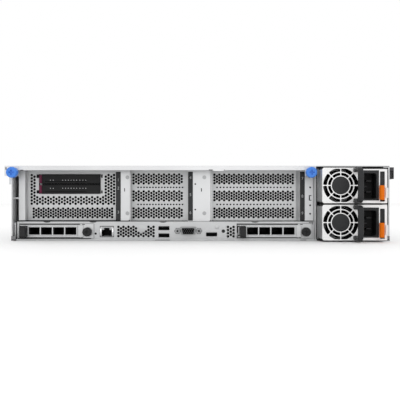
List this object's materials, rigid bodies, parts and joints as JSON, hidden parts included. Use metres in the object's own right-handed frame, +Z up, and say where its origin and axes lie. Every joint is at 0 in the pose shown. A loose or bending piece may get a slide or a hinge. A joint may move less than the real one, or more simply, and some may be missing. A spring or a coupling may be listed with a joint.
{
  "type": "2u rack server",
  "caption": "Low rack-mount computer chassis with hot-swap supplies, riser slots, network cards and front drive bays.",
  "frame": {"origin": "under the middle of the whole object, on the plane of the chassis floor's underside", "axes": "+X to the right as seen from the rear, +Y from the cable side to the drive side, +Z up"},
  "size_m": [0.482, 0.814, 0.0865],
  "materials": {
    "sheet_steel": "satin light grey plated sheet",
    "cover_steel": "satin plated sheet",
    "supply_shell": "satin light shell",
    "dark_plastic": "matt near-black",
    "blue_plastic": "matt blue",
    "orange_plastic": "matt orange",
    "pale_plastic": "matt off-white",
    "bright_metal": "bright tin-plated steel",
    "dark_metal": "satin dark metal",
    "board": "green circuit board",
    "heatsink_metal": "bare aluminium",
    "drive_metal": "dark anodised"
  },
  "bodies": {
    "chassis": {"chassis_tray": "sheet_steel", "rear_io_panel": "sheet_steel", "psu_cage": "sheet_steel", "drive_cover": "cover_steel", "rear_hook": "dark_metal", "riser_cage_left": "sheet_steel", "riser_cage_middle": "sheet_steel", "riser_cage_right": "sheet_steel", "riser_boards": "board", "slot_covers": "bright_metal", "slot_number_strips": "dark_plastic", "mainboard": "board", "network_port": "bright_metal", "usb_ports": "bright_metal", "display_port": "bright_metal", "heatsinks": "heatsink_metal", "memory_modules": "board", "fan_frames": "dark_plastic", "drive_cage": "sheet_steel", "drive_backplane": "board", "drive_fillers": "dark_plastic", "rack_ear_left": "sheet_steel", "rack_ear_right": "sheet_steel"},
    "cover": {"top_cover": "cover_steel"},
    "thumbscrew_left": {"thumbscrew_left": "blue_plastic"},
    "thumbscrew_right": {"thumbscrew_right": "blue_plastic"},
    "psu_lower": {"psu_lower_case": "supply_shell", "psu_lower_bail": "dark_plastic", "psu_lower_inlet": "dark_plastic"},
    "psu_lower_latch": {"psu_lower_latch": "orange_plastic"},
    "psu_lower_rotor": {"psu_lower_rotor": "dark_plastic"},
    "boot_lower": {"boot_drive_lower": "drive_metal"},
    "boot_lower_lever": {"boot_lever_lower": "dark_plastic"},
    "psu_upper": {"psu_upper_case": "supply_shell", "psu_upper_bail": "dark_plastic", "psu_upper_inlet": "dark_plastic"},
    "psu_upper_latch": {"psu_upper_latch": "orange_plastic"},
    "psu_upper_rotor": {"psu_upper_rotor": "dark_plastic"},
    "boot_upper": {"boot_drive_upper": "drive_metal"},
    "boot_upper_lever": {"boot_lever_upper": "dark_plastic"},
    "card_left": {"network_card_left": "sheet_steel", "network_cages_left": "bright_metal"},
    "card_left_screw": {"network_screw_left": "dark_metal"},
    "card_right": {"network_card_right": "sheet_steel", "network_cages_right": "bright_metal"},
    "card_right_screw": {"network_screw_right": "dark_metal"},
    "reset_button": {"reset_button": "dark_plastic"},
    "power_button": {"power_button": "pale_plastic"},
    "fan_rotor_1": {"fan_rotor_1": "dark_plastic"},
    "fan_rotor_2": {"fan_rotor_2": "dark_plastic"},
    "fan_rotor_3": {"fan_rotor_3": "dark_plastic"},
    "fan_rotor_4": {"fan_rotor_4": "dark_plastic"},
    "drive_tray_1": {"drive_tray_1": "drive_metal"},
    "drive_lever_1": {"drive_lever_1": "dark_plastic"},
    "drive_tray_2": {"drive_tray_2": "drive_metal"},
    "drive_lever_2": {"drive_lever_2": "dark_plastic"},
    "drive_tray_3": {"drive_tray_3": "drive_metal"},
    "drive_lever_3": {"drive_lever_3": "dark_plastic"},
    "drive_tray_4": {"drive_tray_4": "drive_metal"},
    "drive_lever_4": {"drive_lever_4": "dark_plastic"}
  },
  "joints": [
    {"name": "cover_slide", "type": "slide", "parent": "chassis", "child": "cover", "axis": [0, -1, 0], "range_m": [0, 0.013]},
    {"name": "thumbscrew_left_turn", "type": "hinge", "parent": "cover", "child": "thumbscrew_left", "pos_m": [-0.2165, -0.3628, 0.0787], "axis": [0, -1, 0], "continuous": true},
    {"name": "thumbscrew_right_turn", "type": "hinge", "parent": "cover", "child": "thumbscrew_right", "pos_m": [0.1276, -0.3628, 0.0787], "axis": [0, -1, 0], "continuous": true},
    {"name": "psu_lower_slide", "type": "slide", "parent": "chassis", "child": "psu_lower", "axis": [0, -1, 0], "range_m": [0, 0.165]},
    {"name": "psu_lower_latch_press", "type": "slide", "parent": "psu_lower", "child": "psu_lower_latch", "axis": [-1, 0, 0], "range_m": [0, 0.002], "stiffness_N_per_m": 1500},
    {"name": "psu_lower_fan_spin", "type": "hinge", "parent": "psu_lower", "child": "psu_lower_rotor", "pos_m": [0.1576, -0.367, 0.0215], "axis": [0, -1, 0], "continuous": true},
    {"name": "boot_lower_slide", "type": "slide", "parent": "chassis", "child": "boot_lower", "axis": [0, -1, 0], "range_m": [0, 0.105]},
    {"name": "boot_lower_lever_swing", "type": "hinge", "parent": "boot_lower", "child": "boot_lower_lever", "pos_m": [-0.1181, -0.3334, 0.0601], "axis": [0, 0, 1], "range_deg": [0, 50]},
    {"name": "psu_upper_slide", "type": "slide", "parent": "chassis", "child": "psu_upper", "axis": [0, -1, 0], "range_m": [0, 0.165]},
    {"name": "psu_upper_latch_press", "type": "slide", "parent": "psu_upper", "child": "psu_upper_latch", "axis": [-1, 0, 0], "range_m": [0, 0.002], "stiffness_N_per_m": 1500},
    {"name": "psu_upper_fan_spin", "type": "hinge", "parent": "psu_upper", "child": "psu_upper_rotor", "pos_m": [0.1576, -0.367, 0.0633], "axis": [0, -1, 0], "continuous": true},
    {"name": "boot_upper_slide", "type": "slide", "parent": "chassis", "child": "boot_upper", "axis": [0, -1, 0], "range_m": [0, 0.105]},
    {"name": "boot_upper_lever_swing", "type": "hinge", "parent": "boot_upper", "child": "boot_upper_lever", "pos_m": [-0.1181, -0.3334, 0.0716], "axis": [0, 0, 1], "range_deg": [0, 50]},
    {"name": "card_left_slide", "type": "slide", "parent": "chassis", "child": "card_left", "axis": [0, -1, 0], "range_m": [0, 0.115]},
    {"name": "card_left_screw_turn", "type": "hinge", "parent": "card_left", "child": "card_left_screw", "pos_m": [-0.132, -0.3521, 0.0097], "axis": [0, -1, 0], "continuous": true},
    {"name": "card_right_slide", "type": "slide", "parent": "chassis", "child": "card_right", "axis": [0, -1, 0], "range_m": [0, 0.115]},
    {"name": "card_right_screw_turn", "type": "hinge", "parent": "card_right", "child": "card_right_screw", "pos_m": [0.1232, -0.3521, 0.0097], "axis": [0, -1, 0], "continuous": true},
    {"name": "reset_button_press", "type": "slide", "parent": "chassis", "child": "reset_button", "axis": [0, 1, 0], "range_m": [0, 0.0012], "stiffness_N_per_m": 800},
    {"name": "power_button_press", "type": "slide", "parent": "chassis", "child": "power_button", "axis": [0, -1, 0], "range_m": [0, 0.0012], "stiffness_N_per_m": 800},
    {"name": "fan_1_spin", "type": "hinge", "parent": "chassis", "child": "fan_rotor_1", "pos_m": [-0.16335, 0.132, 0.0412], "axis": [0, -1, 0], "continuous": true},
    {"name": "fan_2_spin", "type": "hinge", "parent": "chassis", "child": "fan_rotor_2", "pos_m": [-0.05445, 0.132, 0.0412], "axis": [0, -1, 0], "continuous": true},
    {"name": "fan_3_spin", "type": "hinge", "parent": "chassis", "child": "fan_rotor_3", "pos_m": [0.05445, 0.132, 0.0412], "axis": [0, -1, 0], "continuous": true},
    {"name": "fan_4_spin", "type": "hinge", "parent": "chassis", "child": "fan_rotor_4", "pos_m": [0.16335, 0.132, 0.0412], "axis": [0, -1, 0], "continuous": true},
    {"name": "drive_tray_1_slide", "type": "slide", "parent": "chassis", "child": "drive_tray_1", "axis": [0, 1, 0], "range_m": [0, 0.13]},
    {"name": "drive_lever_1_swing", "type": "hinge", "parent": "drive_tray_1", "child": "drive_lever_1", "pos_m": [-0.1978, 0.377, 0.0082], "axis": [-1, 0, 0], "range_deg": [0, 60]},
    {"name": "drive_tray_2_slide", "type": "slide", "parent": "chassis", "child": "drive_tray_2", "axis": [0, 1, 0], "range_m": [0, 0.13]},
    {"name": "drive_lever_2_swing", "type": "hinge", "parent": "drive_tray_2", "child": "drive_lever_2", "pos_m": [-0.1806, 0.377, 0.0082], "axis": [-1, 0, 0], "range_deg": [0, 60]},
    {"name": "drive_tray_3_slide", "type": "slide", "parent": "chassis", "child": "drive_tray_3", "axis": [0, 1, 0], "range_m": [0, 0.13]},
    {"name": "drive_lever_3_swing", "type": "hinge", "parent": "drive_tray_3", "child": "drive_lever_3", "pos_m": [-0.1634, 0.377, 0.0082], "axis": [-1, 0, 0], "range_deg": [0, 60]},
    {"name": "drive_tray_4_slide", "type": "slide", "parent": "chassis", "child": "drive_tray_4", "axis": [0, 1, 0], "range_m": [0, 0.13]},
    {"name": "drive_lever_4_swing", "type": "hinge", "parent": "drive_tray_4", "child": "drive_lever_4", "pos_m": [-0.1462, 0.377, 0.0082], "axis": [-1, 0, 0], "range_deg": [0, 60]}
  ]
}
